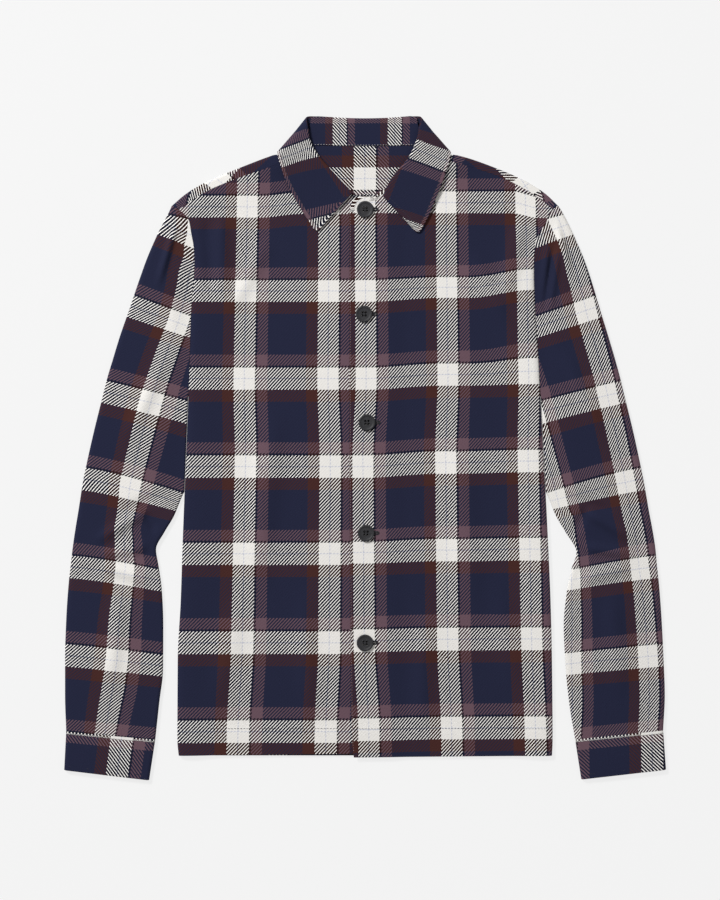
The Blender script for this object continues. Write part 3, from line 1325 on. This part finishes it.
@dataclass
class Cuff:
    """A cuff: a flat band all round the wrist."""

    side: Side
    name: str
    wall: float = 2.0
    rows_down: int = 14
    tops: tuple[float, float, float] = (5.3, 5.6, 5.3)
    rolls: Span = (3.4, 4.4)
    puff: float = 0.5                   # how much higher the middle of the cuff is
    pale_rows: float = 0.045            # the share of its length, at the seam, that shows a cream edge
    pale_place: float = 0.02
    seam_place: float = 0.155
    surface: ClothSurface | None = field(default=None, init=False)

    def build(self, wardrobe: Wardrobe) -> bpy.types.Object:
        """Makes the cuff."""
        push = np.array([self.side.value * self.wall / 2, 0.0])
        start = SLEEVE_FREE[self.side][-1] - np.array([0.0, LAY.seam_gap, 0.0, LAY.seam_gap])
        end = CUFF_END[self.side]
        shares = np.concatenate([[0.0, 0.03], np.linspace(0.08, 0.92, self.rows_down), [0.97, 1.0]])
        sections = []
        for t in shares:
            row = mix(start, end, t)
            middle = self.tops[1] + self.puff * math.sin(math.pi * t)
            tube = Tube(self.wall / 2, (self.tops[0], middle, self.tops[2]), self.rolls, False)
            sections.append(tube.section(row[2:] - push, row[:2] + push))
        points = np.array(sections)
        reach = -arc_places(points, OUTER_FOLD) / PIXEL
        stripe = mix(*CUFF_STRIPES[self.side], shares)
        across = self.side.value * (reach - stripe[:, None]) / CHECK.repeat
        depths = shares * np.linalg.norm(end[:2] - start[:2]) / PIXEL
        down = np.where(shares < self.pale_rows, self.pale_place, self.seam_place + depths / CHECK.repeat)
        places = np.stack([across, down[:, None] + np.zeros_like(across)], axis=-1)
        self.surface = Tube.surface(self.side, points, places)
        return self.surface.wall(f"{self.name}_cloth", self.wall, wardrobe.cloth)


@dataclass
class CollarStand:
    """The collar stand, which lies flat inside the neck and bends down along its top edge."""

    wall: float = 2.0
    height: float = 4.0
    bend: float = 1.4
    step: float = 3.0
    flat_points: int = 12
    bend_points: int = 6
    mauve_row: float = 123.6            # the picture row where mauve starts
    row_up: float = 0.0227              # how fast the place runs above that row, in repeats a pixel
    stripe_column: float = 339.7        # the picture column of a cream stripe
    stripe_columns: float = 54.9        # a repeat across, in pixels
    surface: ClothSurface | None = field(default=None, init=False)

    def build(self, wardrobe: Wardrobe) -> bpy.types.Object:
        """Makes the stand."""
        turns = 0.5 * math.pi * np.arange(self.bend_points) / (self.bend_points - 1)
        drops = self.bend * (1.0 - np.cos(turns))
        heights = np.concatenate([np.full(self.flat_points, self.height), self.height - drops])
        lines = []
        for row in at_numbers(STAND, fine_steps(STAND[:, :2], self.step)):
            neck, top = row[:2], row[2:]
            up = unit(top - neck)
            flat = mix(neck, top - up * self.bend, np.linspace(0.0, 0.95, self.flat_points)[:, None])
            bent = top - up * (self.bend * (1.0 - np.sin(turns)))[:, None]
            lines.append(np.column_stack([np.vstack([flat, bent]), heights]))
        points = np.array(lines)
        column, row = to_picture(points[:, :, 0], points[:, :, 1])
        below = row - self.mauve_row
        down = PlaidTwill.mauve_from + np.where(below > 0.0, below / CHECK.repeat, below * self.row_up)
        places = np.stack([(column - self.stripe_column) / self.stripe_columns, down], axis=-1)
        self.surface = ClothSurface.from_grid(points, places).facing_up()
        return self.surface.wall("collar_stand_cloth", self.wall, wardrobe.stand_cloth)


@dataclass
class CollarLeaf:
    """The collar leaf, a strip that turns over at the sides of the neck."""

    wall: float = 2.0
    roll: float = 1.5
    step: float = 3.0
    across: int = 30
    tip: float = 5.5                    # the radius of the rounded tips
    edge_place: float = 0.24            # the place in the check along the outer edge
    roll_steps: int = 6
    end_numbers: tuple[float, ...] = (0.02, 0.05, 0.09, 0.14, 0.2, 0.26)    # more rows at the tips
    surface: ClothSurface | None = field(default=None, init=False)

    def rounding(self, spot: Array) -> float:
        """How far the outer edge draws in at a spot near a tip."""
        near = min(np.linalg.norm(spot - LEAF[end, 3:5]) for end in (0, -1))
        if near >= self.tip:
            return 0.0
        return self.tip - math.sqrt(self.tip ** 2 - (self.tip - near) ** 2)

    def section(self, row: Array) -> tuple[Array, Array]:
        """The points and places of a cross-section, with the roll along its inner edge."""
        inner, outer, rolled = row[:3], row[3:6], row[6]
        away = unit(outer - inner)
        points = []
        for step in range(self.roll_steps):
            left_over = 1.0 - step / self.roll_steps
            turn = math.pi * rolled * left_over
            reach = self.roll * (1.0 - math.sin(turn) - (1.0 - rolled) * left_over)
            drop = self.roll * (1.0 - math.cos(turn))
            points.append(inner + away * reach - np.array([0.0, 0.0, drop]))
        shares = np.concatenate([np.linspace(0.0, 0.97, self.across), [1.0]])
        body = np.vstack([np.array(points), mix(inner + away * self.roll, outer, shares[:, None])])
        arc = lengths_along(body)
        rolled_arc, total = arc[self.roll_steps], arc[-1]
        share = np.clip((arc - rolled_arc) / (total - rolled_arc), -0.2, 1.0)
        across = mix(row[7], row[8], share)
        return body, np.stack([across, self.edge_place + (total - arc) / PIXEL / CHECK.repeat], axis=1)

    def build(self, wardrobe: Wardrobe) -> bpy.types.Object:
        """Makes the leaf."""
        ends = np.array(self.end_numbers)
        numbers = np.concatenate([fine_steps(LEAF[:, 3:6], self.step), ends, len(LEAF) - 1.0 - ends])
        rows = at_numbers(LEAF, np.unique(numbers))
        for row in rows:
            row[3:6] += unit(row[:3] - row[3:6]) * self.rounding(row[3:5])
        made = [self.section(row) for row in rows]
        points, places = (np.array(part) for part in zip(*made))
        self.surface = ClothSurface.from_grid(points, places)
        return self.surface.wall("collar_cloth", self.wall, wardrobe.collar_cloth)


# ---- sewing ---------------------------------------------------------------------------------------


@dataclass
class Stitches:
    """Stitches along lines on the cloth."""

    name: str
    paths: list[Array]          # points on the cloth's surface, in millimetres
    length: float = 2.6
    gap: float = 1.1
    thick: float = 0.55
    sides: int = 6
    profile: tuple[Span, ...] = ((0.0, 0.25), (0.15, 0.85), (0.5, 1.0), (0.85, 0.85), (1.0, 0.25))

    def build(self, material: bpy.types.Material) -> bpy.types.Object:
        """Makes the stitches as one object of short rounded bars."""
        points, faces = [], []
        for path in self.paths:
            along = lengths_along(path)
            for start in np.arange(self.gap, along[-1] - self.length, self.length + self.gap):
                at = start + self.length * np.array([share for share, _ in self.profile])
                middle = np.stack([np.interp(at, along, path[:, k]) for k in range(3)], axis=1)
                way = unit(middle[-1] - middle[0])
                aside = unit(np.cross(way, (0.0, 0.0, 1.0)))
                up = np.cross(aside, way)
                faces += ring_faces(len(points), len(self.profile), self.sides)
                for centre, (_, swell) in zip(middle, self.profile):
                    for turn in ring_angles(self.sides):
                        push = (aside * math.cos(turn) + up * math.sin(turn)) * self.thick / 2 * swell
                        points.append(centre + push)
        return add_object(self.name, points, faces, material)


@dataclass
class Sewing:
    """All the rows of stitches that show."""

    fronts: dict[Side, Front]
    leaf: CollarLeaf
    stand: CollarStand
    cuffs: dict[Side, Cuff]
    raised: float = 0.05                # how far the middle of a stitch is over the cloth
    hem_y: float = -336.0
    hem_step: float = 4.0
    hem_ends: dict[Side, float] = field(default_factory=lambda: {Side.LEFT: 16.0, Side.RIGHT: -12.5})
    hem_hides: float = -19.0            # x where the under front's hem goes below the over front
    edge_y: Span = (-364.0, 282.0)
    edge_inset: float = 0.5
    neck_spots: tuple[Span, ...] = (
        (-15.6, 301.4), (-11.0, 302.9), (-4.0, 303.2), (4.0, 303.0), (12.0, 302.4), (18.0, 300.6),
    )
    neck_seam_x: tuple[float, float, float] = (-62.0, 62.1, 2.0)
    neck_seam_up: float = 1.1
    cuff_share: float = 0.9             # how far down the cuff its stitches are
    collar_inset: float = 4.0
    collar_tip: float = 1.6             # at the tips, how many times that far along the edge
    collar_step: float = 2.0
    collar_rows: tuple[int, int] = (7, 20)      # rows of the leaf before and from which the edge shows
    leaf_over: float = 4.5              # the least height of the leaf's upper part

    def on(
        self, surface: ClothSurface, wall: float, spots: Array, reach: int = 2, over: float = -math.inf
    ) -> Array:
        """Lifts spots onto the upper face of a piece of cloth.

        Args:
            surface: the middle surface of the piece.
            wall: how thick it is.
            spots: x and y of the spots.
            reach: over how many neighbours on each side the heights are evened out.
            over: only points of the surface over this height count.

        Returns:
            The lifted spots.
        """
        heights = [surface.height_at(x, y, over) + wall / 2 + self.raised for x, y in spots]
        count = 2 * reach + 1
        smooth = np.convolve(np.pad(heights, reach, mode="edge"), np.ones(count) / count, mode="valid")
        return np.column_stack([spots, smooth])

    def hem(self, side: Side) -> Stitches:
        """The hem of a front."""
        front = self.fronts[side]
        x_side = float(LAY.edge(side, self.hem_y)) + side.value * self.hem_step
        xs = np.arange(*sorted((self.hem_ends[side], x_side)), self.hem_step)
        if side is Side.LEFT:
            xs = xs[xs < self.hem_hides]
        spots = np.column_stack([xs, np.full(len(xs), self.hem_y)])
        return Stitches(f"hem_stitches_{front.name}", [self.on(front.surface, LAY.wall, spots)])

    def front_edge(self) -> Stitches:
        """The row along the over front's edge."""
        rungs = FRONT_RUNGS[Side.RIGHT][:EDGE_RUNGS]
        ys = np.arange(*self.edge_y, 4.0)
        spots = np.column_stack([Curve(rungs[:, 2], rungs[:, 1])(ys) + self.edge_inset, ys])
        path = self.on(self.fronts[Side.RIGHT].surface, LAY.wall, spots)
        return Stitches("front_edge_stitches", [path], length=1.5, gap=1.5)

    def front_neck(self) -> Stitches:
        """The dark seam of the neckline below the top button."""
        path = self.on(self.fronts[Side.RIGHT].surface, LAY.wall, np.array(self.neck_spots))
        return Stitches("front_neck_stitches", [path], length=2.2, gap=0.3, thick=1.0)

    def neck_seam(self) -> Stitches:
        """The pale row where the stand meets the back."""
        xs = np.arange(*self.neck_seam_x)
        spots = np.column_stack([xs, Curve(BACK_NECK[:, 0], BACK_NECK[:, 1])(xs) + self.neck_seam_up])
        path = self.on(self.stand.surface, self.stand.wall, spots)
        return Stitches("neck_seam_stitches", [path], length=1.7, gap=1.7)

    def cuff(self, side: Side) -> Stitches:
        """The row along a cuff's open end."""
        cuff = self.cuffs[side]
        end = mix(SLEEVE_FREE[side][-1], CUFF_END[side], self.cuff_share)
        spots = mix(end[:2], end[2:], np.linspace(0.04, 0.96, 30)[:, None])
        return Stitches(f"{cuff.name}_stitches", [self.on(cuff.surface, cuff.wall, spots)])

    def collar(self) -> Stitches:
        """The rows inside the edge of the collar leaf, where it shows."""
        paths = []
        for rows, back in ((LEAF[:self.collar_rows[0]], 1), (LEAF[self.collar_rows[1]:][::-1], -1)):
            inner, outer = rows[:, :2], rows[:, 3:5]
            spots = outer + unit(inner - outer) * self.collar_inset
            along = unit(outer[1] - outer[0]) * self.collar_tip * self.collar_inset
            start = inner[0] + unit(inner[1] - inner[0]) * self.collar_inset
            route = np.vstack([start, spots[0] + along, spots[1:]])[::back]
            lengths = lengths_along(route)
            at = np.arange(0.0, lengths[-1], self.collar_step)
            fine = np.stack([np.interp(at, lengths, route[:, k]) for k in range(2)], axis=1)
            paths.append(self.on(self.leaf.surface, self.leaf.wall, fine, reach=3, over=self.leaf_over))
        return Stitches("collar_stitches", paths)

    def build(self, wardrobe: Wardrobe) -> dict[str, list[bpy.types.Object]]:
        """Makes the stitches of the hem, the front edge, the collar and the cuffs.

        Args:
            wardrobe: the finishes.

        Returns:
            The new objects for each piece of cloth that carries them.
        """
        dark = wardrobe.seam_thread
        made = {front.name: [self.hem(side).build(dark)] for side, front in self.fronts.items()}
        over = made[self.fronts[Side.RIGHT].name]
        over.append(self.front_edge().build(wardrobe.edge_thread))
        over.append(self.front_neck().build(dark))
        made["collar"] = [self.collar().build(dark)]
        made["collar_stand"] = [self.neck_seam().build(wardrobe.pale_thread)]
        made.update({cuff.name: [self.cuff(side).build(dark)] for side, cuff in self.cuffs.items()})
        return made


# ---- buttons --------------------------------------------------------------------------------------


@dataclass
class Button:
    """A four-hole button with a raised rim, sewn on with dark thread."""

    number: int
    x: float
    y: float
    radius: float = 10.0
    thick: float = 3.0
    hole: float = 1.4
    pitch: float = 3.6
    faces: int = 72
    hole_faces: int = 20
    sharp_from: float = 38.0            # degrees
    strand: float = 0.16                # a strand's radius
    strand_gap: float = 0.4
    strand_sides: int = 6
    stations: int = 9                   # points along a strand
    thread_sunk: float = 1.6            # how far below the rim a strand goes into its holes
    thread_arch: float = 0.95           # how far it comes up between them

    @property
    def base(self) -> float:
        """The height of its underside."""
        height = LAY.front_height(Side.RIGHT, np.array(self.x), np.array(self.y))
        return float(height) + LAY.wall / 2 + LAY.seam_gap

    def profile(self) -> list[tuple[float, float]]:
        """The button's cut, from the middle of its underside round to the middle of its dish."""
        r, t = self.radius, self.thick
        return [
            (r - 0.9, 0.0), (r - 0.35, 0.2), (r, 0.8), (r, t - 0.9), (r - 0.15, t - 0.4),
            (r - 0.5, t - 0.08), (r - 1.0, t), (r - 1.7, t - 0.02), (r - 2.3, t - 0.22),
            (r - 2.7, t - 0.5), (r - 3.2, t - 0.66), (r - 4.2, t - 0.7), (r - 6.5, t - 0.78),
        ]

    def hole_places(self) -> list[tuple[float, float]]:
        """The middles of the four holes, from the button's middle."""
        reach = self.pitch / math.sqrt(2.0)
        turns = [math.pi / 4 + math.pi / 2 * k for k in range(4)]
        return [(reach * math.cos(turn), reach * math.sin(turn)) for turn in turns]

    def build(self, wardrobe: Wardrobe) -> list[bpy.types.Object]:
        """Makes the button and its thread."""
        name, profile = f"button_{self.number}", self.profile()
        points = [
            (radius * math.cos(turn), radius * math.sin(turn), height)
            for radius, height in profile for turn in ring_angles(self.faces)
        ]
        faces = ring_faces(0, len(profile), self.faces)
        blank = add_object(f"{name}_form", points, faces, wardrobe.horn, smooth=False)
        cutters = [self.cutter(place, k, wardrobe) for k, place in enumerate(self.hole_places())]
        for cutter in cutters:
            cut = blank.modifiers.new(cutter.name, "BOOLEAN")
            cut.operation = "DIFFERENCE"
            cut.solver = "EXACT"
            cut.object = cutter
        graph = bpy.context.evaluated_depsgraph_get()
        bored = bpy.data.meshes.new_from_object(blank.evaluated_get(graph))
        for old in (*cutters, blank):
            bpy.data.objects.remove(old)
        bored.transform(Matrix.Translation((self.x * MM, self.y * MM, self.base * MM)))
        bored.shade_smooth()
        bored.set_sharp_from_angle(angle=math.radians(self.sharp_from))
        bored.materials.clear()
        bored.materials.append(wardrobe.horn)
        button = bpy.data.objects.new(f"{name}_horn", bored)
        bpy.context.scene.collection.objects.link(button)
        return [button, self.thread(wardrobe)]

    def cutter(self, place: tuple[float, float], number: int, wardrobe: Wardrobe) -> bpy.types.Object:
        """A rod that bores one hole, a little wider at the top."""
        rings = ((self.hole, -1.0), (self.hole, self.thick - 1.0), (self.hole * 1.25, self.thick + 1.0))
        points = [
            (place[0] + radius * math.cos(turn), place[1] + radius * math.sin(turn), height)
            for radius, height in rings for turn in ring_angles(self.hole_faces)
        ]
        faces = ring_faces(0, len(rings), self.hole_faces)
        return add_object(f"rod_{self.number}_{number}", points, faces, wardrobe.horn, smooth=False)

    def thread(self, wardrobe: Wardrobe) -> bpy.types.Object:
        """Two bars of thread, each of two strands, between the holes."""
        points, faces = [], []
        reach = self.pitch / 2
        for bar in (-1.0, 1.0):
            for strand in (-self.strand_gap / 2, self.strand_gap / 2):
                faces += ring_faces(len(points), self.stations, self.strand_sides, capped=False)
                for station in range(self.stations):
                    t = station / (self.stations - 1)
                    arch = math.sin(math.pi * t) ** 0.5 if 0.0 < t < 1.0 else 0.0
                    z = self.thick - self.thread_sunk + self.thread_arch * arch
                    points += [(
                        self.x + mix(-reach, reach, t),
                        self.y + bar * reach + strand + self.strand * math.cos(turn),
                        self.base + z + self.strand * math.sin(turn),
                    ) for turn in ring_angles(self.strand_sides)]
        return add_object(f"button_{self.number}_thread", points, faces, wardrobe.button_thread)


@dataclass
class Buttonhole:
    """A worked buttonhole: a slit with close stitches round it, most of it below its button."""

    number: int
    x: float
    y: float
    length: float = 21.0
    width: float = 4.8
    shift: float = 6.2                  # it reaches out from below the button on the right
    pitch: float = 0.62                 # of the stitches along its sides
    end_stitches: int = 7
    round_end: float = 0.9              # how far the stitches round its ends reach out
    offset: float = 0.28                # of the stitches from its middle line, in parts of its width
    half_stitch: float = 0.27           # half a stitch's width
    stitch: tuple[tuple[float, float], ...] = ((-0.5, 0.05), (-0.25, 0.35), (0.25, 0.35), (0.5, 0.05))

    def stitch_spots(self) -> list[tuple[float, float, float, float]]:
        """The stitches round the slit: x and y from its middle, and the way that each one runs."""
        half, away = self.length / 2 - self.width / 2, self.width * self.offset
        count = int(self.length / self.pitch)
        spots = [
            (mix(-half, half, k / (count - 1)), side * away, 0.0, side)
            for side in (-1.0, 1.0) for k in range(count)
        ]
        for end in (-1.0, 1.0):
            for k in range(self.end_stitches):
                turn = math.pi * (k / (self.end_stitches - 1) - 0.5)
                out = half + self.round_end * math.cos(turn)
                spots.append((end * out, away * math.sin(turn), end, 0.0))
        return spots

    def build(self, front: Front, wardrobe: Wardrobe) -> bpy.types.Object:
        """Makes the stitches round the slit as one object."""
        points, faces = [], []
        height = front.surface.height_at(self.x + self.shift, self.y) + LAY.wall / 2
        for x, y, out_x, out_y in self.stitch_spots():
            way = np.array([out_x, out_y])
            middle = np.array([self.x + self.shift + x, self.y + y])
            aside = np.array([-way[1], way[0]])
            first = len(points)
            for share, rise in self.stitch:
                for across in (-self.half_stitch, self.half_stitch):
                    spot = middle + way * share * self.width * 0.5 + aside * across
                    points.append((spot[0], spot[1], height + rise))
            for a in range(first, len(points) - 2, 2):
                faces.append([a, a + 2, a + 3, a + 1])
        return add_object(f"buttonhole_{self.number}", points, faces, wardrobe.hole_thread, smooth=False)


# ---- the set --------------------------------------------------------------------------------------


@dataclass(frozen=True)
class Studio:
    """A pale floor, soft light from large lamps, and a camera straight above the garment."""

    middle: tuple[float, float] = (-0.006, -0.0021)
    tall: float = 1.08                # metres that the picture shows from top to bottom
    lens: float = 100.0
    sensor: float = 36.0
    world_light: float = 0.28
    floor_reach: float = 12000.0        # millimetres from the middle
    floor_height: float = -0.6
    floor_glow: float = 0.785
    see_to: float = 50.0
    key_place: tuple[float, float, float] = (-2.7, 2.9, 3.5)
    fill_place: tuple[float, float, float] = (1.6, -0.6, 2.6)

    def floor(self) -> None:
        """Lays the floor."""
        board = NodeBoard("floor")
        grain = board.ramp(board.noise(40.0, 2.0), [(0.0, (0.119,) * 3), (1.0, (0.121,) * 3)], False)
        board.finish({
            "Base Color": grain, "Roughness": 0.95, "Specular IOR Level": 0.1,
            "Emission Color": (1.0, 1.0, 1.0, 1.0), "Emission Strength": self.floor_glow,
        })
        signs = ((-1, -1), (1, -1), (1, 1), (-1, 1))
        corners = [(x * self.floor_reach, y * self.floor_reach, self.floor_height) for x, y in signs]
        add_object("floor", corners, [[0, 1, 2, 3]], board.material, sharp_from=180.0)

    def lamp(self, name: str, place: tuple[float, float, float], size: float, power: float) -> None:
        """Hangs a soft square lamp that faces the garment's middle."""
        data = bpy.data.lights.new(name, "AREA")
        data.shape = "SQUARE"
        data.size = size
        data.energy = power
        lamp = bpy.data.objects.new(name, data)
        lamp.location = place
        lamp.rotation_euler = (-Vector(place)).to_track_quat("-Z", "Y").to_euler()
        bpy.context.scene.collection.objects.link(lamp)

    def build(self) -> None:
        """Sets up the floor, the light and the camera."""
        scene = bpy.context.scene
        world = bpy.data.worlds.new("studio")
        world.use_nodes = True
        backdrop = world.node_tree.nodes["Background"]
        backdrop.inputs["Color"].default_value = (1.0, 1.0, 1.0, 1.0)
        backdrop.inputs["Strength"].default_value = self.world_light
        scene.world = world
        self.floor()
        self.lamp("key", self.key_place, size=1.1, power=266.0)
        self.lamp("fill", self.fill_place, size=2.0, power=10.0)
        scene.view_settings.view_transform = "Standard"
        scene.view_settings.look = "None"
        data = bpy.data.cameras.new("camera")
        data.lens = self.lens
        data.sensor_width = self.sensor
        data.clip_end = self.see_to
        camera = bpy.data.objects.new("camera", data)
        camera.location = (*self.middle, self.tall * self.lens / self.sensor)
        scene.collection.objects.link(camera)
        scene.camera = camera


# ---- the whole garment ----------------------------------------------------------------------------


@dataclass(frozen=True)
class Cut:
    """The flat cut of a piece: its box and its area."""

    width: float
    length: float
    area: float
    rests_on: tuple[str, ...]


@dataclass
class Overshirt:
    """The garment: builds its pieces in order, and says what each one stands for."""

    wardrobe: Wardrobe

    def adopt(self, piece: bpy.types.Object, slot: str, *nodes: str) -> None:
        """Lets a piece ride with the garment and names the nodes that it stands for."""
        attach(piece, "root")
        if nodes:
            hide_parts(*nodes)
        LOG.info("%s: %d faces", piece.name, len(piece.data.polygons))

    def build(self) -> None:
        """Makes every piece."""
        cloth = self.wardrobe
        left, right = Side.LEFT, Side.RIGHT
        fronts = {left: Front(left, "front_right"), right: Front(right, "front_left")}
        sleeves = {left: Sleeve(left, "sleeve_right"), right: Sleeve(right, "sleeve_left")}
        cuffs = {left: Cuff(left, "cuff_right"), right: Cuff(right, "cuff_left")}
        stand, leaf = CollarStand(), CollarLeaf()
        made = {"back": Back().build(cloth)}
        for piece in (*fronts.values(), *sleeves.values(), *cuffs.values()):
            made[piece.name] = piece.build(cloth)
        made["collar_stand"] = stand.build(cloth)
        made["collar"] = leaf.build(cloth)
        sewing = Sewing(fronts, leaf, stand, cuffs).build(cloth)
        for number, (x, y) in enumerate(BUTTON_PLACES, start=1):
            sewing["front_left"].append(Buttonhole(number, x, y).build(fronts[right], cloth))
        for name, piece in made.items():
            slot = "trim_cloth" if name.startswith(("collar", "cuff")) else "body_cloth"
            self.adopt(piece, slot, name)
            stitches = sewing.get(name, [])
            for stitch in stitches:
                self.adopt(stitch, slot)
        for number, (x, y) in enumerate(BUTTON_PLACES, start=1):
            button, thread = Button(number, x, y).build(cloth)
            self.adopt(button, "button", f"button_{number}")
            self.adopt(thread, "button")


def main() -> None:
    """Builds the set and the garment, and notes their sizes."""
    logging.basicConfig(level=logging.INFO, format="%(message)s")
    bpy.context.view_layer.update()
    Studio().build()
    Overshirt(Wardrobe.stocked()).build()


if __name__ == "__main__":
    main()
